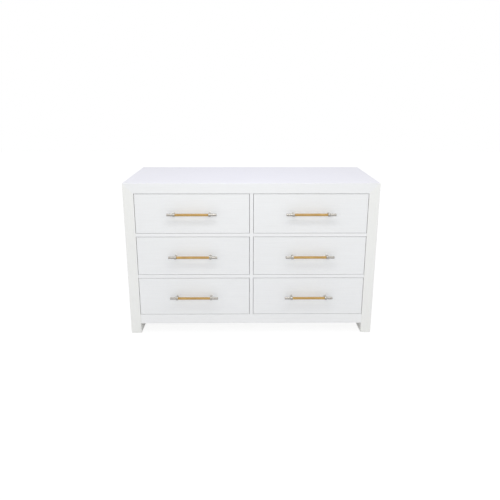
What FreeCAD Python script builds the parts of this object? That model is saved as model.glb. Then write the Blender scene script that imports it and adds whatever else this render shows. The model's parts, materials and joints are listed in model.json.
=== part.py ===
import FreeCAD
import Part
import Sketcher
import enum
import math
import os
import re

# A six-drawer chest in white-lacquered wrapped board: a thick waterfall case on two full-depth sides,
# two banks of inset drawers on telescopic steel slides, and bar pulls with a tan grip between metal posts.
# +Z is up, the drawers face -Y, and the origin is on the floor under the middle of the whole chest.

# Driving sizes, in millimetres
SIZES = {
    # Waterfall case
    "case_width": 1372,
    "case_depth": 546,
    "case_height": 876,
    "side_thick": 57,
    "top_thick": 57,
    "case_round": 3,
    "opening_round": 1,
    # Floor glides under the sides
    "glide_height": 4,
    "glide_diameter": 24,
    "glide_taper": 2,
    "glide_inset": 50,
    # Boards inside the case
    "partition_thick": 19,
    "rail_thick": 19,
    "rail_depth": 60,
    "apron_height": 56,
    "apron_thick": 22,
    "foot_height": 62,
    "deck_thick": 16,
    "back_thick": 6,
    "back_rebate": 10,
    "back_rail_thick": 19,
    "block_reach": 60,
    "block_height": 36,
    "face_setback": 2,
    "panel_clearance": 0.5,
    # Drawer front and drawer box
    "gap_beside": 2,
    "gap_above": 2.2,
    "gap_below": 1.5,
    "front_thick": 19,
    "front_round": 1.5,
    "box_board": 12,
    "box_height": 160,
    "box_length": 500,
    "box_lift": 24,
    "pin_width": 10,
    "pin_flare": 2,
    "bottom_thick": 6,
    "bottom_lift": 10,
    "groove_depth": 6,
    "groove_clearance": 0.2,
    # Telescopic slides, three nested steel channels on each side of a drawer
    "slide_space": 12.7,
    "slide_height": 45,
    "slide_length": 490,
    "slide_setback": 3,
    "slide_lift": 80,
    "slide_sheet": 1.2,
    "slide_lip": 4,
    "slide_clearance": 0.5,
    # Bar pull
    "pull_centres": 190,
    "pull_standoff": 32,
    "bar_diameter": 14,
    "end_length": 32,
    "collar_diameter": 20,
    "collar_width": 12,
    "post_diameter": 11,
    "pull_rise": 2,
    "tang_size": 7,
    "tang_length": 14,
    "tang_clearance": 0.1,
}

# Sizes that follow from the driving ones
DERIVED = {
    "pull_reach": "pull_standoff + collar_diameter / 2",
    "overall_depth": "case_depth + pull_reach - face_setback",
    "back_y": "overall_depth / 2",
    "front_y": "back_y - case_depth",
    "half_width": "case_width / 2",
    "half_inside": "half_width - side_thick",
    "inside_top": "case_height - top_thick",
    "apron_top": "foot_height + apron_height",
    "opening_width": "half_inside - partition_thick / 2",
    "opening_height": "(inside_top - apron_top - 2 * rail_thick) / 3",
    "column_x": "(opening_width + partition_thick) / 2",
    "row_pitch": "opening_height + rail_thick",
    "front_width": "opening_width - 2 * gap_beside",
    "front_height": "opening_height - gap_above - gap_below",
    "box_width": "opening_width - 2 * slide_space",
    "box_inside": "box_width - 2 * box_board",
    "box_front": "face_setback + front_thick",
    "box_back": "box_front + box_length",
    "groove_low": "box_lift + bottom_lift",
    "groove_high": "groove_low + bottom_thick + 2 * groove_clearance",
    "slide_axis": "box_lift + slide_lift",
    "slide_wall": "-opening_width / 2",
    "pull_axis": "face_setback - pull_standoff",
    "pull_height": "gap_below + front_height / 2 + pull_rise",
    "grip_length": "pull_centres - collar_width",
}

# Share of a thickness by which a cutting block runs past the corner that it cuts
OVERRUN_SHARE = 0.5
SAME_PLACE = 1e-6
# Dovetail tails at each corner of a drawer box
TAIL_COUNT = 3

COLUMNS = {"left": "-column_x", "right": "column_x"}
ROWS = {"bottom": "apron_top", "middle": "apron_top + row_pitch", "top": "apron_top + 2 * row_pitch"}

# How a sketch numbers the ends of a line and the centre of a circle
Point = enum.IntEnum("Point", "START END CENTRE")

SHEET_OF = {name: "Sizes" for name in SIZES} | {name: "Derived" for name in DERIVED}

document = FreeCAD.newDocument("drawer_chest")
nodes = []


def formula(words, home=None):
    """A formula with the sheet of each size named in front of it, unless that is the formula's own sheet."""
    def with_sheet(found):
        sheet = SHEET_OF[found[0]]
        return found[0] if sheet == home else f"{sheet}.{found[0]}"
    return re.sub(r"[a-z]\w*", with_sheet, words)


def fill_sheet(name, cells):
    """A spreadsheet with one named cell a row."""
    sheet = document.addObject("Spreadsheet::Sheet", name)
    for row, (alias, content) in enumerate(cells.items(), start=1):
        sheet.set(f"A{row}", alias)
        sheet.set(f"B{row}", content)
        sheet.setAlias(f"B{row}", alias)
    return sheet


def bind(thing, **properties):
    """Binds properties of an object to formulas in the named sizes."""
    for name, words in properties.items():
        thing.setExpression(name, formula(words))
    return thing


def place(thing, x="0", y="0", z="0"):
    """Binds the place of an object to formulas."""
    for axis, words in zip("xyz", (x, y, z)):
        thing.setExpression(f"Placement.Base.{axis}", formula(words))
    return thing


def size(name):
    """A size's value in millimetres, for choosing edges."""
    sheet = document.getObject(SHEET_OF[name])
    return float(sheet.get(name))


def node(label, *pieces, x="0", y="0", z="0"):
    """One named sub-part: the given pieces as separate solids, moved together to their place."""
    group = document.addObject("Part::Compound", label)
    group.Links = list(pieces)
    nodes.append(place(group, x, y, z))
    return group


def board(label, x, y, z, length, depth, height):
    """A square-edged board, given by its low corner and its three sizes."""
    box = document.addObject("Part::Box", label)
    return place(bind(box, Length=length, Width=depth, Height=height), x, y, z)


def new_body(label):
    return document.addObject("PartDesign::Body", label)


def mirrored(piece):
    """The piece's mirror image across the middle plane of the chest or of one drawer."""
    image = document.addObject("Part::Mirroring", piece.Label + "_mirrored")
    image.Source = piece
    image.Normal = FreeCAD.Vector(1, 0, 0)
    return image


def sketch_on(body, plane, offset="0"):
    """An empty sketch on one of the body's own planes, moved along that plane's normal."""
    sketch = body.newObject("Sketcher::SketchObject", f"{body.Label}_sketch")
    origin_plane = next(item for item in body.Origin.OriginFeatures if item.Role == plane)
    sketch.AttachmentSupport = (origin_plane, [""])
    sketch.MapMode = "FlatFace"
    sketch.setExpression("AttachmentOffset.Base.z", formula(offset))
    return sketch


def hold_point(sketch, geometry, point, x, y):
    """Holds a point of a sketch at two formulas, measured from the sketch's origin."""
    for direction, words in (("DistanceX", x), ("DistanceY", y)):
        held = Sketcher.Constraint(direction, geometry, point, 1)
        name = f"{direction}_{geometry}"
        sketch.renameConstraint(sketch.addConstraint(held), name)
        sketch.setExpression(f"Constraints.{name}", formula(words))


def outline(sketch, points):
    """A closed outline of straight lines whose corners are held at their formulas."""
    turn = 2 * math.pi / len(points)
    ring = [FreeCAD.Vector(math.cos(turn * i), math.sin(turn * i), 0) for i in range(len(points))]
    segments = [Part.LineSegment(start, end) for start, end in zip(ring, ring[1:] + ring[:1])]
    lines = [sketch.addGeometry(segment) for segment in segments]
    for line, following in zip(lines, lines[1:] + lines[:1]):
        sketch.addConstraint(Sketcher.Constraint("Coincident", line, Point.END, following, Point.START))
    for line, (x, y) in zip(lines, points):
        hold_point(sketch, line, Point.START, x, y)
    return sketch


def circle(sketch, diameter):
    """A circle around the sketch's origin."""
    line = sketch.addGeometry(Part.Circle(FreeCAD.Vector(0, 0, 0), FreeCAD.Vector(0, 0, 1), 1))
    hold_point(sketch, line, Point.CENTRE, "0", "0")
    sketch.renameConstraint(sketch.addConstraint(Sketcher.Constraint("Diameter", line, 1)), "diameter")
    sketch.setExpression("Constraints.diameter", formula(diameter))
    return sketch


def square(sketch, width):
    """A square around the sketch's origin."""
    half = f"({width}) / 2"
    return outline(sketch, [(f"-{half}", f"-{half}"), (half, f"-{half}"), (half, half), (f"-{half}", half)])


def pad(body, sketch, length, **settings):
    feature = body.newObject("PartDesign::Pad", f"{body.Label}_pad")
    feature.Profile = sketch
    bind(feature, Length=length)
    for name, value in settings.items():
        setattr(feature, name, value)
    return feature


def pocket(body, sketch, **settings):
    feature = body.newObject("PartDesign::Pocket", f"{body.Label}_pocket")
    feature.Profile = sketch
    for name, value in settings.items():
        setattr(feature, name, value)
    return feature


def fillet(body, base, radius, wanted):
    """Rounds the edges of a feature whose middle point passes the test."""
    document.recompute()
    names = [f"Edge{i}" for i, edge in enumerate(base.Shape.Edges, start=1) if wanted(edge.CenterOfMass)]
    feature = body.newObject("PartDesign::Fillet", f"{body.Label}_fillet")
    feature.Base = (base, names)
    bind(feature, Radius=radius)
    return feature


def same(first, second):
    return abs(first - second) < SAME_PLACE


def bar(label, points, depth):
    """A bar of one section in the XZ plane, running back along +Y from its own origin."""
    body = new_body(label)
    pad(body, outline(sketch_on(body, "XZ_Plane"), points), depth, Reversed=True)
    return body


def turned(label, points, plane, axis):
    """A piece turned from a half section about one axis of its sketch."""
    body = new_body(label)
    sketch = outline(sketch_on(body, plane), points)
    feature = body.newObject("PartDesign::Revolution", f"{label}_turning")
    feature.Profile = sketch
    feature.ReferenceAxis = (sketch, [axis])
    return body


def waterfall_blank():
    """The two sides and the top as one bent section with softened edges, before the mitres are cut."""
    blank = bar("waterfall_blank", [
        ("-half_width", "glide_height"), ("-half_width", "case_height"),
        ("half_width", "case_height"), ("half_width", "glide_height"),
        ("half_inside", "glide_height"), ("half_inside", "inside_top"),
        ("-half_inside", "inside_top"), ("-half_inside", "glide_height"),
    ], "case_depth")

    def on_outside(point):
        return same(abs(point.x), size("half_width")) or same(point.z, size("case_height"))

    def outer_edge(point):
        top_corner = same(abs(point.x), size("half_width")) and same(point.z, size("case_height"))
        return top_corner or (same(point.y, 0) and on_outside(point))

    def opening_edge(point):
        lining = same(abs(point.x), size("half_inside")) or same(point.z, size("inside_top"))
        return same(point.y, 0) and lining

    softened = fillet(blank, blank.Tip, "case_round", outer_edge)
    fillet(blank, softened, "opening_round", opening_edge)
    rebate = outline(sketch_on(blank, "XZ_Plane", "-case_depth"), [
        ("-half_inside - back_rebate", "foot_height"), ("half_inside + back_rebate", "foot_height"),
        ("half_inside + back_rebate", "inside_top + back_rebate"),
        ("-half_inside - back_rebate", "inside_top + back_rebate"),
    ])
    bind(pocket(blank, rebate, Reversed=True), Length="back_thick")
    return place(blank, y="front_y")


def waterfall_pieces():
    """The top and the two sides, parted along the mitres that run from the outer to the inner corners."""
    blank = waterfall_blank()
    inward = 1 + OVERRUN_SHARE
    outer_x = f"half_width + {OVERRUN_SHARE} * side_thick"
    outer_z = f"case_height + {OVERRUN_SHARE} * top_thick"
    inner_x = f"half_width - {inward} * side_thick"
    inner_z = f"case_height - {inward} * top_thick"
    below = f"-{OVERRUN_SHARE} * side_thick"
    blocks = {
        "top_panel": [
            (f"-({inner_x})", inner_z), (f"-({outer_x})", outer_z), (outer_x, outer_z), (inner_x, inner_z),
        ],
        "left_side_panel": [
            (f"-({inner_x})", inner_z), (f"-({outer_x})", outer_z), (f"-({outer_x})", below),
            (f"-({inner_x})", below),
        ],
        "right_side_panel": [
            (inner_x, inner_z), (outer_x, outer_z), (outer_x, below), (inner_x, below),
        ],
    }
    for label, points in blocks.items():
        block = place(bar(f"{label}_block", points, "case_depth"), y="front_y")
        piece = document.addObject("Part::Common", label)
        piece.Base = blank
        piece.Tool = block
        nodes.append(piece)


def case_boards():
    """The boards that the waterfall case holds: partition, rails, apron, deck, back and rear rail."""
    inside_back = "back_y - back_thick"
    face = "front_y + face_setback"
    partition = board(
        "partition_board", "-partition_thick / 2", face, "apron_top",
        "partition_thick", f"{inside_back} - ({face})", "inside_top - apron_top",
    )
    node("centre_partition", partition)
    apron = board(
        "apron_board", "-half_inside", face, "foot_height",
        "2 * half_inside", "apron_thick", "apron_height",
    )
    node("front_apron", apron)
    deck = board(
        "deck_board", "-half_inside", f"{face} + apron_thick", "apron_top - deck_thick",
        "2 * half_inside", f"{inside_back} - ({face} + apron_thick)", "deck_thick",
    )
    node("bottom_panel", deck)
    back_rail = board(
        "back_rail_board", "-half_inside", f"{inside_back} - back_rail_thick", "foot_height",
        "2 * half_inside", "back_rail_thick", "apron_height - deck_thick",
    )
    node("back_rail", back_rail)
    back = board(
        "back_board",
        "-half_inside - back_rebate + panel_clearance", inside_back, "foot_height + panel_clearance",
        "2 * (half_inside + back_rebate - panel_clearance)", "back_thick",
        "inside_top + back_rebate - foot_height - 2 * panel_clearance",
    )
    node("back_panel", back)
    rails = [
        board(
            f"{row}_{column}_rail", f"{centre} - opening_width / 2", face, f"{ROWS[row]} - rail_thick",
            "opening_width", "rail_depth", "rail_thick",
        )
        for row in ("middle", "top")
        for column, centre in COLUMNS.items()
    ]
    node("drawer_rails", *rails)


def corner_blocks():
    """Three-cornered glue blocks under the deck, where the apron and the rear rail meet the sides."""
    blocks = []
    for end, y, inward in (
        ("front", "front_y + face_setback + apron_thick", ""),
        ("rear", "back_y - back_thick - back_rail_thick", "-"),
    ):
        block = new_body(f"{end}_corner_block")
        corner = outline(sketch_on(block, "XY_Plane"), [
            ("0", "0"), ("block_reach", "0"), ("0", f"{inward}block_reach"),
        ])
        pad(block, corner, "block_height")
        place(block, "-half_inside", y, "apron_top - deck_thick - block_height")
        blocks += [block, mirrored(block)]
    node("corner_blocks", *blocks)


def floor_glides():
    """Four tapered nylon glides, two under each side."""
    glides = []
    middle = "half_width - side_thick / 2"
    for end, y in {"front": "front_y + glide_inset", "rear": "back_y - glide_inset"}.items():
        for side, x in {"left": f"-({middle})", "right": middle}.items():
            glide = document.addObject("Part::Cone", f"{end}_{side}_glide")
            bind(glide, Radius1="glide_diameter / 2 - glide_taper", Radius2="glide_diameter / 2")
            bind(glide, Height="glide_height")
            glides.append(place(glide, x, y))
    node("floor_glides", *glides)


def drawer_front():
    """The inset front: a board with softened front edges."""
    body = new_body("drawer_front")
    face = outline(sketch_on(body, "XZ_Plane"), [
        ("-front_width / 2", "gap_below"), ("front_width / 2", "gap_below"),
        ("front_width / 2", "gap_below + front_height"), ("-front_width / 2", "gap_below + front_height"),
    ])
    block = pad(body, face, "front_thick", Reversed=True)
    fillet(body, block, "front_round", lambda point: same(point.y, 0))
    return place(body, y="face_setback")


def pin_outlines(sketch, outer, inner):
    """Dovetail pins seen from the side: narrow on the box's outer face, and halved at both its edges."""
    for i in range(TAIL_COUNT + 1):
        middle = f"box_lift + {i} * box_height / {TAIL_COUNT}"
        narrow, wide = "pin_width / 2", "pin_width / 2 + pin_flare"
        narrow_below, wide_below = ("0", "0") if i == 0 else (narrow, wide)
        narrow_above, wide_above = ("0", "0") if i == TAIL_COUNT else (narrow, wide)
        outline(sketch, [
            (outer, f"{middle} - ({narrow_below})"), (inner, f"{middle} - ({wide_below})"),
            (inner, f"{middle} + {wide_above}"), (outer, f"{middle} + {narrow_above}"),
        ])
    return sketch


def box_sides():
    """The left side of the drawer box, dovetailed at both ends and grooved, and its mirror image."""
    outer = "-box_width / 2"
    inner = "-box_inside / 2"
    side = bar("box_side", [
        (outer, "box_lift"), (inner, "box_lift"), (inner, "groove_low"),
        (f"{inner} - groove_depth", "groove_low"), (f"{inner} - groove_depth", "groove_high"),
        (inner, "groove_high"), (inner, "box_lift + box_height"), (outer, "box_lift + box_height"),
    ], "box_length")
    sockets = sketch_on(side, "YZ_Plane")
    pin_outlines(sockets, "0", "box_board")
    pin_outlines(sockets, "box_length", "box_length - box_board")
    pocket(side, sockets, Type="ThroughAll", SideType="Symmetric")
    place(side, y="box_front")
    return side, mirrored(side)


def box_end(label, outer, inner, into_board):
    """An end of the drawer box, its pins in the sides' sockets: outer and inner are its faces along Y."""
    body = new_body(label)
    section = outline(sketch_on(body, "YZ_Plane"), [
        (outer, "box_lift"), (inner, "box_lift"), (inner, "groove_low"),
        (f"{inner} {into_board} groove_depth", "groove_low"),
        (f"{inner} {into_board} groove_depth", "groove_high"),
        (inner, "groove_high"), (inner, "box_lift + box_height"), (outer, "box_lift + box_height"),
    ])
    pad(body, section, "box_inside", SideType="Symmetric")
    pad(body, pin_outlines(sketch_on(body, "YZ_Plane"), outer, inner), "box_width", SideType="Symmetric")
    return body


def box_ends():
    """The inner front and the back of the drawer box."""
    inner_front = box_end("box_inner_front", "box_front", "box_front + box_board", "-")
    return inner_front, box_end("box_back_end", "box_back", "box_back - box_board", "+")


def box_bottom():
    """The thin bottom, held in the grooves of the sides and the ends."""
    reach = "groove_depth - panel_clearance"
    return board(
        "box_bottom", f"-box_inside / 2 - ({reach})", f"box_front + box_board - ({reach})",
        "groove_low + groove_clearance", f"box_inside + 2 * ({reach})",
        f"box_length - 2 * box_board + 2 * ({reach})", "bottom_thick",
    )


def channel(label, height, inner_u, outer_u):
    """A slide channel with its web towards the case and its lips turned in, at the left of a drawer."""
    half = f"({height}) / 2"

    def at(u, v):
        return f"slide_wall + {u}", f"slide_axis + {v}"

    body = bar(label, [
        at(inner_u, f"-{half}"), at(outer_u, f"-{half}"), at(outer_u, f"-{half} + slide_lip"),
        at(f"{outer_u} - slide_sheet", f"-{half} + slide_lip"),
        at(f"{outer_u} - slide_sheet", f"-{half} + slide_sheet"),
        at(f"{inner_u} + slide_sheet", f"-{half} + slide_sheet"),
        at(f"{inner_u} + slide_sheet", f"{half} - slide_sheet"),
        at(f"{outer_u} - slide_sheet", f"{half} - slide_sheet"),
        at(f"{outer_u} - slide_sheet", f"{half} - slide_lip"),
        at(outer_u, f"{half} - slide_lip"), at(outer_u, half), at(inner_u, half),
    ], "slide_length")
    return place(body, y="box_front + slide_setback")


def hat_channel(label, height, brim_height, inner_u, outer_u):
    """The drawer's slide member: a hat section, its web on the box and its brims in the middle channel."""
    half = f"({height}) / 2"
    brim = f"({brim_height}) / 2"

    def at(u, v):
        return f"slide_wall + {u}", f"slide_axis + {v}"

    body = bar(label, [
        at(inner_u, f"-{brim}"), at(f"{inner_u} + slide_sheet", f"-{brim}"),
        at(f"{inner_u} + slide_sheet", f"-{half}"), at(outer_u, f"-{half}"),
        at(outer_u, half), at(f"{inner_u} + slide_sheet", half),
        at(f"{inner_u} + slide_sheet", brim), at(inner_u, brim),
        at(inner_u, f"{half} - slide_sheet"), at(f"{outer_u} - slide_sheet", f"{half} - slide_sheet"),
        at(f"{outer_u} - slide_sheet", f"-{half} + slide_sheet"), at(inner_u, f"-{half} + slide_sheet"),
    ], "slide_length")
    return place(body, y="box_front + slide_setback")


def slide_members():
    """The three channels of a slide, each running inside the last: case, middle and drawer members."""
    step = "slide_sheet + slide_clearance"
    case_mouth = f"slide_space - ({step})"
    middle_height = f"slide_height - 2 * ({step})"
    case_member = channel("case_member", "slide_height", "0", case_mouth)
    middle_member = channel("middle_member", middle_height, step, f"{case_mouth} - ({step})")
    drawer_member = hat_channel(
        "drawer_member", f"{middle_height} - 2 * (slide_lip + slide_clearance)",
        f"{middle_height} - 2 * ({step})", f"2 * ({step})", "slide_space",
    )
    return {name: (piece, mirrored(piece)) for name, piece in
            (("case", case_member), ("middle", middle_member), ("drawer", drawer_member))}


def pull_posts():
    """The left metal end of the pull with its collar, tang and post, and its mirror image."""
    tip = "-collar_width / 2 - end_length"
    left = "-collar_width / 2"
    right = "collar_width / 2"
    post = turned("pull_post", [
        (tip, "0"), (tip, "bar_diameter / 2"), (left, "bar_diameter / 2"), (left, "collar_diameter / 2"),
        (right, "collar_diameter / 2"), (right, "0"),
    ], "XY_Plane", "H_Axis")
    pad(post, square(sketch_on(post, "YZ_Plane", right), "tang_size"), "tang_length")
    pad(post, circle(sketch_on(post, "XZ_Plane"), "post_diameter"), "pull_standoff", Reversed=True)
    place(post, "-pull_centres / 2", "pull_axis", "pull_height")
    return post, mirrored(post)


def pull_grip():
    """The tan grip between the two collars, with a square socket in each end for the tangs."""
    grip = new_body("grip_bar")
    pad(grip, circle(sketch_on(grip, "YZ_Plane"), "bar_diameter"), "grip_length", SideType="Symmetric")
    for end, from_left in (("grip_length / 2", False), ("-grip_length / 2", True)):
        socket = square(sketch_on(grip, "YZ_Plane", end), "tang_size + 2 * tang_clearance")
        bind(pocket(grip, socket, Reversed=from_left), Length="tang_length + tang_clearance")
    return place(grip, y="pull_axis", z="pull_height")


def drawers():
    """Six alike drawers with their slides and pulls, each piece of each drawer a sub-part of its own."""
    members = slide_members()
    pieces = {
        "drawer_front": [drawer_front()],
        "drawer_sides": box_sides(),
        "drawer_ends": box_ends(),
        "drawer_bottom": [box_bottom()],
        "drawer_slides": members["drawer"],
        "middle_slides": members["middle"],
        "pull_posts": pull_posts(),
        "pull_grip": [pull_grip()],
    }
    case_slides = []
    for row, height in ROWS.items():
        for column, centre in COLUMNS.items():
            for name, solids in pieces.items():
                node(f"{row}_{column}_{name}", *solids, x=centre, y="front_y", z=height)
            pair = document.addObject("Part::Compound", f"{row}_{column}_case_members")
            pair.Links = list(members["case"])
            case_slides.append(place(pair, centre, "front_y", height))
    node("case_slides", *case_slides)


def check_and_export():
    """Stops on any failed object or bad shape, then writes each sub-part to its own file."""
    document.recompute()
    failed = [item.Label for item in document.Objects if {"Invalid", "Error"} & set(item.State)]
    failed += [item.Label for item in nodes if item.Shape.isNull() or not item.Shape.isValid()]
    if failed:
        raise SystemExit(f"failed objects: {failed}")
    os.makedirs("parts", exist_ok=True)
    for item in nodes:
        item.Shape.exportStep(f"parts/{item.Label}.step")
        print(item.Label, len(item.Shape.Solids), "solids", round(item.Shape.Volume), "mm3")


fill_sheet("Sizes", {name: str(value) for name, value in SIZES.items()})
fill_sheet("Derived", {name: "=" + formula(words, "Derived") for name, words in DERIVED.items()})
document.recompute()
waterfall_pieces()
case_boards()
corner_blocks()
floor_glides()
drawers()
check_and_export()
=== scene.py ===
"""A white six-drawer chest: its finishes, pulls and small fittings, in a plain pale studio.

Metres, +Z up, the chest's front towards -Y. Every pattern follows the piece's own coordinates.
"""
import json
import math

import bmesh
import bpy
from mathutils import Matrix, Vector

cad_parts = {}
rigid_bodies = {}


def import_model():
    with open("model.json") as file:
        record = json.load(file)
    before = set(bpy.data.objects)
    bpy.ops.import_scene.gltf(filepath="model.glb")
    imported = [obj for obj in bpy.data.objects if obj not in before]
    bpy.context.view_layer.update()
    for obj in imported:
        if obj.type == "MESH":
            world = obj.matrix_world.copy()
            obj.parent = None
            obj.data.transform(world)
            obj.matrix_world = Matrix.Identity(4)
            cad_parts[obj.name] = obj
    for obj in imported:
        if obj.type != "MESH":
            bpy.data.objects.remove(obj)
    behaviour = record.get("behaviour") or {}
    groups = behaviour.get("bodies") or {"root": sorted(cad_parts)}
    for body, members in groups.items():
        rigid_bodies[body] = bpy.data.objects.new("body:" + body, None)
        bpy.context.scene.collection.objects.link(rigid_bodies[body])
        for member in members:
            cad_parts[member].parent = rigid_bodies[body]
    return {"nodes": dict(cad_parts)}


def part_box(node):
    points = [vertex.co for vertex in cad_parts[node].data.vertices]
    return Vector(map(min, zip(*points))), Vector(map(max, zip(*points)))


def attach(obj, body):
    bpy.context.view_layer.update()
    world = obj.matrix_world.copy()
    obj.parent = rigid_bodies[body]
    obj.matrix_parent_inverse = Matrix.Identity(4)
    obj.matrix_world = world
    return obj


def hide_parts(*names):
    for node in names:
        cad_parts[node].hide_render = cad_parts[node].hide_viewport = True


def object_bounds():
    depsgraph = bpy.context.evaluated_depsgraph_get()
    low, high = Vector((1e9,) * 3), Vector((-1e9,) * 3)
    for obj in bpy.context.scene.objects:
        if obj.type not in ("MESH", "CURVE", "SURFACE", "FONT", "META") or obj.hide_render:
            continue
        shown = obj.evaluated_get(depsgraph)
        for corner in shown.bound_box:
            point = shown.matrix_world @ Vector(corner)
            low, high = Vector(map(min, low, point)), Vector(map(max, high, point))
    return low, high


for left_over in list(bpy.data.objects):
    bpy.data.objects.remove(left_over)
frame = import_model()
CAD_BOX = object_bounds()
NODES = frame["nodes"]

ROWS = ("top", "middle", "bottom")
COLUMNS = ("left", "right")
PLACES = [f"{row}_{column}" for row in ROWS for column in COLUMNS]
MM = 0.001

# The photograph's camera, measured from the middle of the chest's front at floor level
IMAGE_WIDTH = 500
FOCAL_PIXELS = 477.7
HORIZON_PIXELS = -35
SENSOR_MM = 36
CAMERA_OFFSET = Vector((-0.031, -2.488, 1.352))
CAMERA_YAW = math.radians(0.53)
CAMERA_PITCH = math.radians(14.64)
CAMERA_ROLL = math.radians(0.07)

# Light: a soft dome, and lamps placed from the middle of the chest's front at floor level
PLAIN_WHITE = (1, 1, 1)
DOME_STRENGTH = 0.8
DOME_COLOUR = (1, 1, 1.01)
# Each lamp's place, width and height, watts, colour, and the rays that miss it
LAMPS = {
    "key": ((0, -0.86, 2.05), (1.3, 0.22), 5.5, PLAIN_WHITE, None),
    "fill": ((0, -4.4, 2.2), (7, 1), 38.5, (0.95, 1, 0.98), "glossy"),
    "cool": ((0, 0.28, 2.6), (1.3, 0.4), 3.4, (0.16, 0.09, 1), "glossy"),
    "sheen": ((0, -0.5, 2.6), (3.6, 1.3), 28, PLAIN_WHITE, "diffuse"),
}
FLOOR_WIDTH = 16
FLOOR_GREY = 0.86
FLOOR_SHADE = 0.16
FLOOR_GLOW = 0.9

# Pulls
BAR_SIDES = 48
END_ROUND = 1.2 * MM
COLLAR_WIDTH = 12 * MM
COLLAR_ROUND = 1.0 * MM
POST_RADIUS = 5.5 * MM
POST_FLARE = 1.2 * MM
POST_SUNK = 2 * MM
GRIP_ROUND = 0.6 * MM
ROUND_STEPS = 4

# Fastenings
SCREW_SIDES = 24
SCREW_RADIUS = 4.2 * MM
SCREW_RISE = 2.4 * MM
SCREW_ROUND = 1.6 * MM
RECESS_ARMS = 4
RECESS_REACH = 2.2 * MM
RECESS_HALF_WIDTH = 0.55 * MM
RECESS_DEPTH = 1.2 * MM
FRONT_SCREW_ACROSS_SHARES = (0.12, 0.88)
FRONT_SCREW_UP_SHARES = (0.3, 0.82)
SLIDE_SHEET = 1.2 * MM
SLIDE_SCREW_SHARES = (0.07, 0.47, 0.88)
NAIL_SIDES = 16
NAIL_RADIUS = 3.2 * MM
NAIL_FLAT = 1.9 * MM
NAIL_EDGE = 0.4 * MM
NAIL_RISE = 0.8 * MM
NAIL_INSET = 6 * MM
NAIL_PITCH = 120 * MM

# Sharp board edges, eased a little
BOARD_EASE = 0.6 * MM
BOX_EASE = 0.5 * MM
WELD_REACH = 0.01 * MM
EASE_STEPS = 2
EASE_ANGLE = math.radians(40)
SMOOTH_ANGLE = math.radians(35)

# Where end grain lies between a wood's dark and light tone, and how much of the figure it hides
END_GRAIN_SHADE = 0.36
END_GRAIN_SHARE = 0.75

FINISHES = {}


class Finish:
    """A procedural material: a principled shader and the nodes that feed it.

    Its patterns follow the piece's own coordinates.
    """

    def __init__(self, name, **settings):
        FINISHES[name] = bpy.data.materials.new(name)
        FINISHES[name].use_nodes = True
        self.tree = FINISHES[name].node_tree
        self.shader = self.tree.nodes["Principled BSDF"]
        for socket, value in settings.items():
            self.shader.inputs[socket.replace("_", " ")].default_value = value
        coordinates = self.add("ShaderNodeTexCoord")
        self.place = coordinates.outputs["Object"]
        self.facing = coordinates.outputs["Normal"]

    def add(self, kind, inputs=None, **settings):
        """A new node. Each input is a plain value or the socket of another node."""
        node = self.tree.nodes.new(kind)
        for name, value in settings.items():
            setattr(node, name, value)
        for name, value in (inputs or {}).items():
            if isinstance(value, bpy.types.NodeSocket):
                self.tree.links.new(value, node.inputs[name])
            else:
                node.inputs[name].default_value = value
        return node

    def noise(self, per_metre, detail=3.0, distortion=0.0, shift=0.0):
        """Noise with its own features per metre along X, Y and Z. A shift sets patterns apart."""
        spread = self.add("ShaderNodeMapping", {
            "Vector": self.place, "Scale": per_metre, "Location": (shift, shift, shift),
        })
        texture = self.add("ShaderNodeTexNoise", {
            "Vector": spread.outputs["Vector"], "Scale": 1.0, "Detail": detail, "Distortion": distortion,
        })
        return texture.outputs["Fac"]

    def mapped(self, socket, low, high, start=0.3, end=0.7):
        """Spreads the middle of a pattern over a range of values."""
        return self.add("ShaderNodeMapRange", {
            "Value": socket, "From Min": start, "From Max": end, "To Min": low, "To Max": high,
        }).outputs["Result"]

    def end_faces(self, axis):
        """1 on the faces that look along one axis, such as a board's ends, and 0 on the rest."""
        parts = self.add("ShaderNodeSeparateXYZ", {"Vector": self.facing})
        either_way = self.add("ShaderNodeMath", {"Value": parts.outputs[axis]}, operation="ABSOLUTE")
        return self.mapped(either_way.outputs["Value"], low=0, high=1, start=0.5, end=0.9)

    def mixed(self, first, second, share):
        """A share of the second pattern mixed into the first."""
        return self.add("ShaderNodeMix", {"Factor": share, "A": first, "B": second}).outputs["Result"]

    def blend(self, pattern, tones):
        """A colour between a dark and a light tone, chosen by the pattern."""
        mix = self.add("ShaderNodeMix", data_type="RGBA")
        self.tree.links.new(pattern, mix.inputs["Factor"])
        colours = [socket for socket in mix.inputs if socket.type == "RGBA"]
        for socket, tone in zip(colours, tones):
            socket.default_value = (*tone, 1)
        return next(socket for socket in mix.outputs if socket.type == "RGBA")

    def bump(self, height, distance, strength=1.0, under=None):
        """Relief from a pattern, over another relief where one is given."""
        inputs = {"Height": height, "Distance": distance, "Strength": strength}
        if under is not None:
            inputs["Normal"] = under
        return self.add("ShaderNodeBump", inputs).outputs["Normal"]

    def feed(self, **sockets):
        """Links patterns to the shader."""
        for name, socket in sockets.items():
            self.tree.links.new(socket, self.shader.inputs[name.replace("_", " ")])


def along(axis, lengthwise, crosswise):
    """Features per metre for a pattern drawn out along one axis."""
    return tuple(lengthwise if name == axis else crosswise for name in "XYZ")


def every_way(per_metre):
    """Features per metre for a pattern that is alike in all directions."""
    return per_metre, per_metre, per_metre


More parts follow.
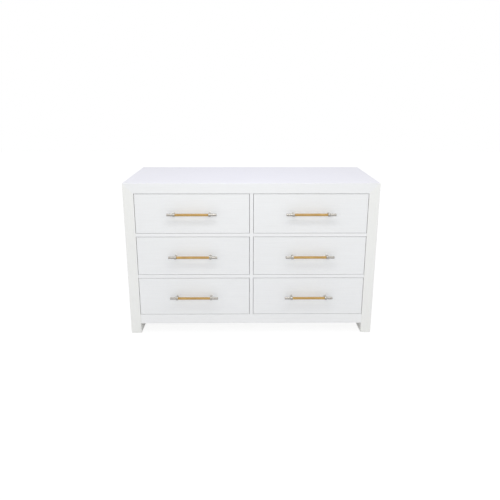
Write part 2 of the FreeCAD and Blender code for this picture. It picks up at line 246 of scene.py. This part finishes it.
def lacquer(name, axis, tones):
    """White lacquer over a fine cloth weave whose threads run along one axis."""
    finish = Finish(name, IOR=1.5)
    threads = finish.noise(along(axis, lengthwise=22, crosswise=780), detail=2)
    crossing = finish.noise(along(axis, lengthwise=780, crosswise=45), detail=2, shift=7)
    slubs = finish.noise(along(axis, lengthwise=7, crosswise=300), detail=4, shift=3)
    clouds = finish.noise(every_way(3), detail=2, shift=11)
    weave = finish.mixed(threads, crossing, share=0.35)
    shade = finish.mixed(finish.mixed(slubs, weave, share=0.3), clouds, share=0.25)
    woven = finish.bump(weave, distance=0.1 * MM, strength=0.8)
    finish.feed(
        Base_Color=finish.blend(finish.mapped(shade, low=0, high=1, start=0.35, end=0.65), tones),
        Roughness=finish.mapped(shade, low=0.5, high=0.4, start=0.35, end=0.65),
        Normal=finish.bump(slubs, distance=0.1 * MM, under=woven),
    )


def hardwood(name, axis, tones, roughness):
    """Clear-lacquered wood: growth bands, finer grain and dark pores along one axis, darker at its ends."""
    finish = Finish(name, IOR=1.48)
    bands = finish.noise(along(axis, lengthwise=1.6, crosswise=38), detail=3, distortion=1.2)
    grain = finish.noise(along(axis, lengthwise=9, crosswise=420), detail=4, distortion=0.4, shift=5)
    pores = finish.noise(along(axis, lengthwise=55, crosswise=1500), detail=1, shift=9)
    figure = finish.mixed(bands, grain, share=0.45)
    pitted = finish.mixed(figure, finish.mapped(pores, low=0, high=1, start=0.32, end=0.45), share=0.22)
    end_grain = finish.mapped(finish.end_faces(axis), low=0, high=END_GRAIN_SHARE, start=0, end=1)
    shade = finish.mixed(pitted, END_GRAIN_SHADE, share=end_grain)
    finish.feed(
        Base_Color=finish.blend(finish.mapped(shade, low=0, high=1, start=0.36, end=0.72), tones),
        Roughness=finish.mapped(grain, *roughness),
        Normal=finish.bump(pitted, distance=0.12 * MM, strength=0.7),
    )


def faced_board(name, tones, roughness):
    """A plain board with a thin pale facing: faint fibres, mottling and a fine orange peel."""
    finish = Finish(name, IOR=1.48)
    fibres = finish.noise(every_way(240), detail=5, distortion=0.8)
    mottle = finish.noise(every_way(9), detail=3, shift=4)
    shade = finish.mixed(fibres, mottle, share=0.5)
    finish.feed(
        Base_Color=finish.blend(finish.mapped(shade, low=0, high=1), tones),
        Roughness=finish.mapped(shade, *roughness),
        Normal=finish.bump(fibres, distance=0.08 * MM, strength=0.6),
    )


def worked_metal(name, lines_per_metre, tones, roughness, relief):
    """Plated metal with the fine lines that a tool left, and slight clouding."""
    finish = Finish(name, Metallic=1.0)
    lines = finish.noise(lines_per_metre, detail=2)
    clouds = finish.noise(every_way(80), detail=3, shift=2)
    shade = finish.mixed(lines, clouds, share=0.5)
    finish.feed(
        Base_Color=finish.blend(finish.mapped(shade, low=0, high=1), tones),
        Roughness=finish.mapped(shade, *roughness),
        Normal=finish.bump(lines, distance=relief, strength=0.5),
    )


def cane(name, tones):
    """Honey-coloured cane under varnish: long fibres with darker streaks."""
    finish = Finish(name, IOR=1.5, Coat_Weight=0.25, Coat_Roughness=0.25)
    fibres = finish.noise(along("X", lengthwise=18, crosswise=1900), detail=3)
    streaks = finish.noise(along("X", lengthwise=9, crosswise=420), detail=3, distortion=0.5, shift=6)
    clouds = finish.noise(along("X", lengthwise=28, crosswise=60), detail=3, shift=1)
    shade = finish.mixed(finish.mixed(fibres, streaks, share=0.5), clouds, share=0.4)
    finish.feed(
        Base_Color=finish.blend(finish.mapped(shade, low=0, high=1, start=0.34, end=0.66), tones),
        Roughness=finish.mapped(shade, low=0.5, high=0.38),
        Normal=finish.bump(fibres, distance=0.06 * MM, strength=0.6),
    )


def nylon(name, tones):
    """Dark moulded nylon with a fine matt grain."""
    finish = Finish(name, IOR=1.53)
    grain = finish.noise(every_way(1400), detail=3)
    finish.feed(
        Base_Color=finish.blend(finish.mapped(grain, low=0, high=1), tones),
        Roughness=finish.mapped(grain, low=0.62, high=0.5),
        Normal=finish.bump(grain, distance=0.05 * MM, strength=0.5),
    )


# The dark and the light tone of each finish, and the roughness that goes with each
COOL_WHITE = (0.802, 0.806, 0.806), (0.840, 0.844, 0.844)
# Painted light: the next tone is the same white lacquer made brighter for the apron, rails and stile, to
# offset the shade on them
PAINTED_LIGHT_WHITE = (0.820, 0.822, 0.822), (0.858, 0.860, 0.860)
WARM_WHITE = (0.809, 0.809, 0.786), (0.847, 0.847, 0.823)
INSIDE_WHITE = (0.70, 0.685, 0.66), (0.77, 0.76, 0.74)
BACK_WHITE = (0.765, 0.76, 0.745), (0.805, 0.80, 0.785)
BOX_WOOD = (0.43, 0.28, 0.15), (0.64, 0.47, 0.29)
PALE_WOOD = (0.48, 0.34, 0.20), (0.66, 0.51, 0.33)
ZINC = (0.46, 0.48, 0.50), (0.60, 0.62, 0.64)
STEEL = (0.50, 0.50, 0.50), (0.62, 0.62, 0.61)
# Painted shade and painted reflection: the pull ends' nickel is darker than real nickel, standing in for a
# dark room reflected in the lower half of the bar
NICKEL_WITH_PAINTED_SHADE = (0.349, 0.330, 0.302), (0.415, 0.394, 0.361)
# Painted light: the posts get a brighter copy of the same nickel, standing in for the light they reflect
POST_NICKEL_WITH_PAINTED_LIGHT = (0.56, 0.54, 0.50), (0.66, 0.64, 0.60)
HONEY = (0.375, 0.205, 0.042), (0.56, 0.343, 0.086)
SOOT = (0.030, 0.028, 0.026), (0.055, 0.052, 0.049)

FACED_ROUGHNESS = 0.62, 0.48
BACK_ROUGHNESS = 0.67, 0.53
WOOD_ROUGHNESS = 0.53, 0.39
BOTTOM_ROUGHNESS = 0.60, 0.46
ZINC_ROUGHNESS = 0.40, 0.29
STEEL_ROUGHNESS = 0.36, 0.25
NICKEL_ROUGHNESS = 0.33, 0.22

# Tool marks per metre, and how deep they are
DRAWN = along("Y", lengthwise=60, crosswise=3200)
STAMPED = along("Z", lengthwise=60, crosswise=3200)
TURNED = along("X", lengthwise=2600, crosswise=90)
ROLLED_RELIEF = 0.02 * MM
TURNED_RELIEF = 0.006 * MM

lacquer("lacquer_across", "X", COOL_WHITE)
# The apron, rails and stile: the white lacquer brightened with painted light
lacquer("lacquer_rail_painted_light", "X", PAINTED_LIGHT_WHITE)
lacquer("lacquer_stile_painted_light", "Z", PAINTED_LIGHT_WHITE)
lacquer("lacquer_upright", "Z", WARM_WHITE)
faced_board("inner_board", INSIDE_WHITE, FACED_ROUGHNESS)
faced_board("back_board", BACK_WHITE, BACK_ROUGHNESS)
hardwood("box_wood_across", "X", BOX_WOOD, WOOD_ROUGHNESS)
hardwood("box_wood_back", "Y", BOX_WOOD, WOOD_ROUGHNESS)
hardwood("box_bottom_board", "X", PALE_WOOD, BOTTOM_ROUGHNESS)
worked_metal("slide_steel", DRAWN, ZINC, ZINC_ROUGHNESS, ROLLED_RELIEF)
worked_metal("screw_steel", STAMPED, STEEL, STEEL_ROUGHNESS, ROLLED_RELIEF)
# Pull ends: nickel darkened with painted shade
worked_metal("nickel", TURNED, NICKEL_WITH_PAINTED_SHADE, NICKEL_ROUGHNESS, TURNED_RELIEF)
# Pull posts: the same nickel brightened with painted light
worked_metal("post_nickel_painted_light", TURNED, POST_NICKEL_WITH_PAINTED_LIGHT, NICKEL_ROUGHNESS, TURNED_RELIEF)
cane("grip_cane", HONEY)
nylon("glide_nylon", SOOT)

# Each piece's finish and the ease of its sharp edges: 0 only joins its corners, None leaves it alone
CASE_FINISHES = {
    "top_panel": ("lacquer_across", 0),
    "left_side_panel": ("lacquer_upright", 0),
    "right_side_panel": ("lacquer_upright", 0),
    "front_apron": ("lacquer_rail_painted_light", BOARD_EASE),
    "drawer_rails": ("lacquer_rail_painted_light", BOARD_EASE),
    "centre_partition": ("lacquer_stile_painted_light", BOARD_EASE),
    "bottom_panel": ("inner_board", BOARD_EASE),
    "back_rail": ("inner_board", BOARD_EASE),
    "corner_blocks": ("box_wood_across", BOARD_EASE),
    "back_panel": ("back_board", BOARD_EASE),
    "case_slides": ("slide_steel", None),
    "floor_glides": ("glide_nylon", None),
}
DRAWER_FINISHES = {
    "drawer_front": ("lacquer_across", None),
    "drawer_sides": ("box_wood_back", BOX_EASE),
    "drawer_ends": ("box_wood_across", BOX_EASE),
    "drawer_bottom": ("box_bottom_board", None),
    "drawer_slides": ("slide_steel", None),
    "middle_slides": ("slide_steel", None),
    "pull_posts": ("nickel", None),
    "pull_grip": ("grip_cane", None),
}


def dress(name, finish, width):
    """Gives a piece of the frame its finish and eases its sharp edges. The piece keeps its own shape."""
    piece = NODES[name]
    for slot in piece.material_slots:
        slot.material = FINISHES[finish]
    if width is None:
        return
    weld = piece.modifiers.new("join_faces", "WELD")
    weld.merge_threshold = WELD_REACH
    if width == 0:
        return
    bevel = piece.modifiers.new("eased_edges", "BEVEL")
    bevel.width = width
    bevel.segments = EASE_STEPS
    bevel.limit_method = "ANGLE"
    bevel.angle_limit = EASE_ANGLE
    bevel.harden_normals = True


def dress_frame():
    """Dresses every piece of the case and of the six drawers."""
    for name, look in CASE_FINISHES.items():
        dress(name, *look)
    for place in PLACES:
        for part, look in DRAWER_FINISHES.items():
            dress(f"{place}_{part}", *look)


def quarter(middle_along, middle_radius, radius, start, end):
    """Points of a quarter round in a half section; angles are in degrees from the axis direction."""
    points = []
    for i in range(ROUND_STEPS + 1):
        angle = math.radians(start + (end - start) * i / ROUND_STEPS)
        points.append((middle_along + radius * math.cos(angle), middle_radius + radius * math.sin(angle)))
    return points


def turn(shape, section, place, sides):
    """Turns a half section of (along, radius) points about the X axis of a place.

    A radius of 0 closes an end. Gives the rings of corners.
    """
    angles = [math.tau * i / sides for i in range(sides)]
    rings = []
    for distance, radius in section:
        if radius == 0:
            corners = [(distance, 0, 0)]
        else:
            corners = [(distance, radius * math.cos(angle), radius * math.sin(angle)) for angle in angles]
        rings.append([shape.verts.new(place @ Vector(corner)) for corner in corners])
    for ring, following in zip(rings, rings[1:]):
        for i in range(sides):
            corners = [ring[i % len(ring)], ring[(i + 1) % len(ring)]]
            corners += [following[(i + 1) % len(following)], following[i % len(following)]]
            shape.faces.new(list(dict.fromkeys(corners)))
    return rings


def piece_from(shape, name, body, finish):
    """Ends a shape as a smooth-shaded piece that rides on a body."""
    bmesh.ops.recalc_face_normals(shape, faces=shape.faces)
    mesh = bpy.data.meshes.new(name)
    shape.to_mesh(mesh)
    shape.free()
    mesh.shade_smooth()
    mesh.set_sharp_from_angle(angle=SMOOTH_ANGLE)
    mesh.materials.append(FINISHES[finish])
    piece = bpy.data.objects.new(name, mesh)
    bpy.context.scene.collection.objects.link(piece)
    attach(piece, body)
    return piece


def looking(direction, spot):
    """A place at a spot whose X axis points along a direction."""
    return Matrix.Translation(spot) @ Vector(direction).to_track_quat("X", "Z").to_matrix().to_4x4()


def pull_metal(place):
    """A pull's metal: two turned ends with collars on the bar's axis, their nickel darkened with painted
    shade, and two posts in the same nickel brightened with painted light.
    """
    low, high = map(Vector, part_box(f"{place}_pull_posts"))
    grip_low, grip_high = map(Vector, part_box(f"{place}_pull_grip"))
    middle = (grip_low + grip_high) / 2
    bar_radius = (grip_high.z - grip_low.z) / 2
    collar_radius = (high.z - low.z) / 2
    full_length = grip_low.x - low.x
    end_length = full_length - COLLAR_WIDTH
    shoulder = collar_radius - COLLAR_ROUND
    reach = high.y - middle.y
    section = [(0, 0)]
    section += quarter(END_ROUND, bar_radius - END_ROUND, END_ROUND, start=180, end=90)
    section += [(end_length, bar_radius)]
    section += quarter(end_length + COLLAR_ROUND, shoulder, COLLAR_ROUND, start=180, end=90)
    section += quarter(full_length - COLLAR_ROUND, shoulder, COLLAR_ROUND, start=90, end=0)
    section += [(full_length, 0)]
    post = [(collar_radius - POST_SUNK, 0), (collar_radius - POST_SUNK, POST_RADIUS)]
    post += quarter(reach - POST_FLARE, POST_RADIUS + POST_FLARE, POST_FLARE, start=270, end=360)[:-1]
    post += [(reach, POST_RADIUS + POST_FLARE), (reach, 0)]
    ends = bmesh.new()
    stems = bmesh.new()
    for tip, inward in ((low.x, 1), (high.x, -1)):
        turn(ends, section, looking((inward, 0, 0), (tip, middle.y, middle.z)), BAR_SIDES)
        post_x = tip + inward * (end_length + COLLAR_WIDTH / 2)
        turn(stems, post, looking((0, 1, 0), (post_x, middle.y, middle.z)), BAR_SIDES)
    piece = piece_from(ends, f"{place}_pull_ends", f"{place}_drawer", "nickel")
    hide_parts(f"{place}_pull_posts")
    piece_from(stems, f"{place}_pull_stems", f"{place}_drawer", "post_nickel_painted_light")


def pull_cane(place):
    """The cane grip between the collars, its ends eased."""
    low, high = map(Vector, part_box(f"{place}_pull_grip"))
    middle = (low + high) / 2
    radius = (high.z - low.z) / 2
    length = high.x - low.x
    section = [(0, 0)]
    section += quarter(GRIP_ROUND, radius - GRIP_ROUND, GRIP_ROUND, start=180, end=90)
    section += quarter(length - GRIP_ROUND, radius - GRIP_ROUND, GRIP_ROUND, start=90, end=0)
    section += [(length, 0)]
    shape = bmesh.new()
    turn(shape, section, looking((1, 0, 0), (low.x, middle.y, middle.z)), BAR_SIDES)
    piece = piece_from(shape, f"{place}_pull_cane", f"{place}_drawer", "grip_cane")
    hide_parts(f"{place}_pull_grip")


def screw(shape, direction, spot):
    """A pan-head screw with a cross recess, its head standing up along a direction."""
    place = looking(direction, spot)
    dome = [(0, 0), (0, SCREW_RADIUS)]
    dome += quarter(SCREW_RISE - SCREW_ROUND, SCREW_RADIUS - SCREW_ROUND, SCREW_ROUND, start=90, end=0)
    rim = turn(shape, dome, place, SCREW_SIDES)[-1]
    corners = [(RECESS_HALF_WIDTH, RECESS_REACH), (RECESS_HALF_WIDTH, RECESS_HALF_WIDTH)]
    corners += [(RECESS_REACH, RECESS_HALF_WIDTH)]
    cross = []
    for arm in range(RECESS_ARMS):
        spin = Matrix.Rotation(-math.tau * arm / RECESS_ARMS, 2)
        cross += [spin @ Vector(corner) for corner in corners]
    mouth = [shape.verts.new(place @ Vector((SCREW_RISE, *corner))) for corner in cross]
    base = [shape.verts.new(place @ Vector((SCREW_RISE - RECESS_DEPTH, *corner))) for corner in cross]
    edges = [shape.edges.get((rim[i - 1], rim[i])) for i in range(len(rim))]
    edges += [shape.edges.new((mouth[i - 1], mouth[i])) for i in range(len(mouth))]
    bmesh.ops.triangle_fill(shape, use_beauty=True, edges=edges)
    for i in range(len(mouth)):
        shape.faces.new((mouth[i - 1], mouth[i], base[i], base[i - 1]))
    shape.faces.new(base)


def screws(name, body, spots):
    """One piece of several screws, given as pairs of a direction and a spot."""
    shape = bmesh.new()
    for direction, spot in spots:
        screw(shape, direction, spot)
    piece_from(shape, name, body, "screw_steel")


def nail(shape, direction, spot):
    """A low round nail head."""
    section = [(0, 0), (0, NAIL_RADIUS), (NAIL_EDGE, NAIL_RADIUS), (NAIL_RISE, NAIL_FLAT), (NAIL_RISE, 0)]
    turn(shape, section, looking(direction, spot), NAIL_SIDES)


def between(low, high, share):
    """The place at a share of the way from low to high."""
    return low + (high - low) * share


def drawer_screws(place):
    """The screws of one drawer: inside it for the pull and the front, and outside it in both slides."""
    low, high = map(Vector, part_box(f"{place}_drawer_sides"))
    grip_low, grip_high = map(Vector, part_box(f"{place}_pull_grip"))
    slide_low, slide_high = map(Vector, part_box(f"{place}_drawer_slides"))
    ends = NODES[f"{place}_drawer_ends"].data.vertices
    inner_face = max(corner.co.y for corner in ends if corner.co.y < (low.y + high.y) / 2)
    body = f"{place}_drawer"
    posts_x = (grip_low.x - COLLAR_WIDTH / 2, grip_high.x + COLLAR_WIDTH / 2)
    pull_z = (grip_low.z + grip_high.z) / 2
    screws(f"{place}_pull_screws", body, [((0, 1, 0), (x, inner_face, pull_z)) for x in posts_x])
    screws(f"{place}_front_screws", body, [
        ((0, 1, 0), (between(low.x, high.x, across), inner_face, between(low.z, high.z, up)))
        for across in FRONT_SCREW_ACROSS_SHARES for up in FRONT_SCREW_UP_SHARES
    ])
    slide_z = (slide_low.z + slide_high.z) / 2
    webs = (((-1, 0, 0), low.x - SLIDE_SHEET), ((1, 0, 0), high.x + SLIDE_SHEET))
    screws(f"{place}_slide_screws", body, [
        (outward, (x, between(slide_low.y, slide_high.y, share), slide_z))
        for outward, x in webs for share in SLIDE_SCREW_SHARES
    ])


def back_nails():
    """Nail heads along the edges of the back and down its middle, into the partition."""
    low, high = map(Vector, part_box("back_panel"))
    shape = bmesh.new()
    width = high.x - low.x - 2 * NAIL_INSET
    height = high.z - low.z - 2 * NAIL_INSET
    across = round(width / NAIL_PITCH)
    upward = round(height / NAIL_PITCH)
    spots = [
        (low.x + NAIL_INSET + width * i / across, z)
        for i in range(across + 1) for z in (low.z + NAIL_INSET, high.z - NAIL_INSET)
    ]
    spots += [
        (x, low.z + NAIL_INSET + height * i / upward)
        for i in range(1, upward) for x in (low.x + NAIL_INSET, 0, high.x - NAIL_INSET)
    ]
    for x, z in spots:
        nail(shape, (0, 1, 0), (x, high.y, z))
    piece_from(shape, "back_nails", "case", "screw_steel")


def shown_rays(tree):
    """1 for the rays that show the background: straight from the camera, mirrored or through glass."""
    rays = tree.nodes.new("ShaderNodeLightPath")
    shown = rays.outputs["Is Camera Ray"]
    for name in ("Is Glossy Ray", "Is Transmission Ray"):
        either = tree.nodes.new("ShaderNodeMath")
        either.operation = "MAXIMUM"
        tree.links.new(shown, either.inputs[0])
        tree.links.new(rays.outputs[name], either.inputs[1])
        shown = either.outputs[0]
    return shown


def split_rays(tree, lit, shown, output):
    """Joins what lights the object and what shows behind it into one output."""
    mix = tree.nodes.new("ShaderNodeMixShader")
    tree.links.new(shown_rays(tree), mix.inputs["Fac"])
    tree.links.new(lit.outputs[0], mix.inputs[1])
    tree.links.new(shown.outputs[0], mix.inputs[2])
    tree.links.new(mix.outputs[0], tree.nodes.new(output).inputs["Surface"])


def lit_world():
    """A soft dome that shows as a plain white background."""
    world = bpy.data.worlds.new("studio")
    world.use_nodes = True
    bpy.context.scene.world = world
    tree = world.node_tree
    tree.nodes.clear()
    dome = tree.nodes.new("ShaderNodeBackground")
    dome.inputs["Color"].default_value = (*DOME_COLOUR, 1)
    dome.inputs["Strength"].default_value = DOME_STRENGTH
    white = tree.nodes.new("ShaderNodeBackground")
    white.inputs["Color"].default_value = (*PLAIN_WHITE, 1)
    white.inputs["Strength"].default_value = 1
    split_rays(tree, dome, white, "ShaderNodeOutputWorld")


def floor():
    """A pale floor that shows white but for the chest's soft shadow."""
    shape = bmesh.new()
    bmesh.ops.create_grid(shape, x_segments=1, y_segments=1, size=FLOOR_WIDTH / 2)
    mesh = bpy.data.meshes.new("floor")
    shape.to_mesh(mesh)
    shape.free()
    ground = bpy.data.objects.new("floor", mesh)
    bpy.context.scene.collection.objects.link(ground)
    material = bpy.data.materials.new("floor")
    material.use_nodes = True
    mesh.materials.append(material)
    tree = material.node_tree
    tree.nodes.clear()
    pale = tree.nodes.new("ShaderNodeBsdfDiffuse")
    pale.inputs["Color"].default_value = (FLOOR_GREY, FLOOR_GREY, FLOOR_GREY, 1)
    shade = tree.nodes.new("ShaderNodeBsdfDiffuse")
    shade.inputs["Color"].default_value = (FLOOR_SHADE, FLOOR_SHADE, FLOOR_SHADE, 1)
    glow = tree.nodes.new("ShaderNodeEmission")
    glow.inputs["Strength"].default_value = FLOOR_GLOW
    shown = tree.nodes.new("ShaderNodeAddShader")
    tree.links.new(shade.outputs[0], shown.inputs[0])
    tree.links.new(glow.outputs[0], shown.inputs[1])
    split_rays(tree, pale, shown, "ShaderNodeOutputMaterial")


def lamps():
    """Soft rectangular lamps that all point at the middle of the chest's front.

    The key casts the pulls' shadows, and the fill stands where the pulls hide the shadows that it casts.
    The fill and the cool light from above leave no highlight, and the sheen leaves nothing else.
    """
    foot = Vector((0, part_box("top_left_drawer_front")[0][1], 0))
    middle = foot + Vector((0, 0, CAD_BOX[1][2] / 2))
    for name, (offset, size, watts, colour, missed_by) in LAMPS.items():
        light = bpy.data.lights.new(name, "AREA")
        light.shape = "RECTANGLE"
        light.size, light.size_y = size
        light.energy = watts
        light.color = colour
        spot = foot + Vector(offset)
        turned = (middle - spot).to_track_quat("-Z", "Y").to_matrix().to_4x4()
        holder = bpy.data.objects.new(name, light)
        holder.matrix_world = Matrix.Translation(spot) @ turned
        if missed_by:
            setattr(holder, f"visible_{missed_by}", False)
        bpy.context.scene.collection.objects.link(holder)


def camera():
    """The photograph's camera, turned by its yaw, pitch and roll from a level view along +Y."""
    front = Vector((0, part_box("top_panel")[0][1], 0))
    ahead = Vector((
        math.sin(CAMERA_YAW) * math.cos(CAMERA_PITCH),
        math.cos(CAMERA_YAW) * math.cos(CAMERA_PITCH),
        -math.sin(CAMERA_PITCH),
    ))
    level = Vector((math.cos(CAMERA_YAW), -math.sin(CAMERA_YAW), 0))
    upright = level.cross(ahead)
    right = math.cos(CAMERA_ROLL) * level + math.sin(CAMERA_ROLL) * upright
    up = right.cross(ahead)
    turned = Matrix((right, up, -ahead)).transposed().to_4x4()
    lens = bpy.data.cameras.new("camera")
    lens.sensor_width = SENSOR_MM
    lens.lens = FOCAL_PIXELS / IMAGE_WIDTH * SENSOR_MM
    lens.shift_y = HORIZON_PIXELS / IMAGE_WIDTH
    holder = bpy.data.objects.new("camera", lens)
    holder.matrix_world = Matrix.Translation(front + CAMERA_OFFSET) @ turned
    bpy.context.scene.collection.objects.link(holder)
    bpy.context.scene.camera = holder


dress_frame()
for place in PLACES:
    pull_metal(place)
    pull_cane(place)
    drawer_screws(place)
back_nails()
lit_world()
floor()
lamps()
camera()
bpy.context.scene.view_settings.view_transform = "Standard"
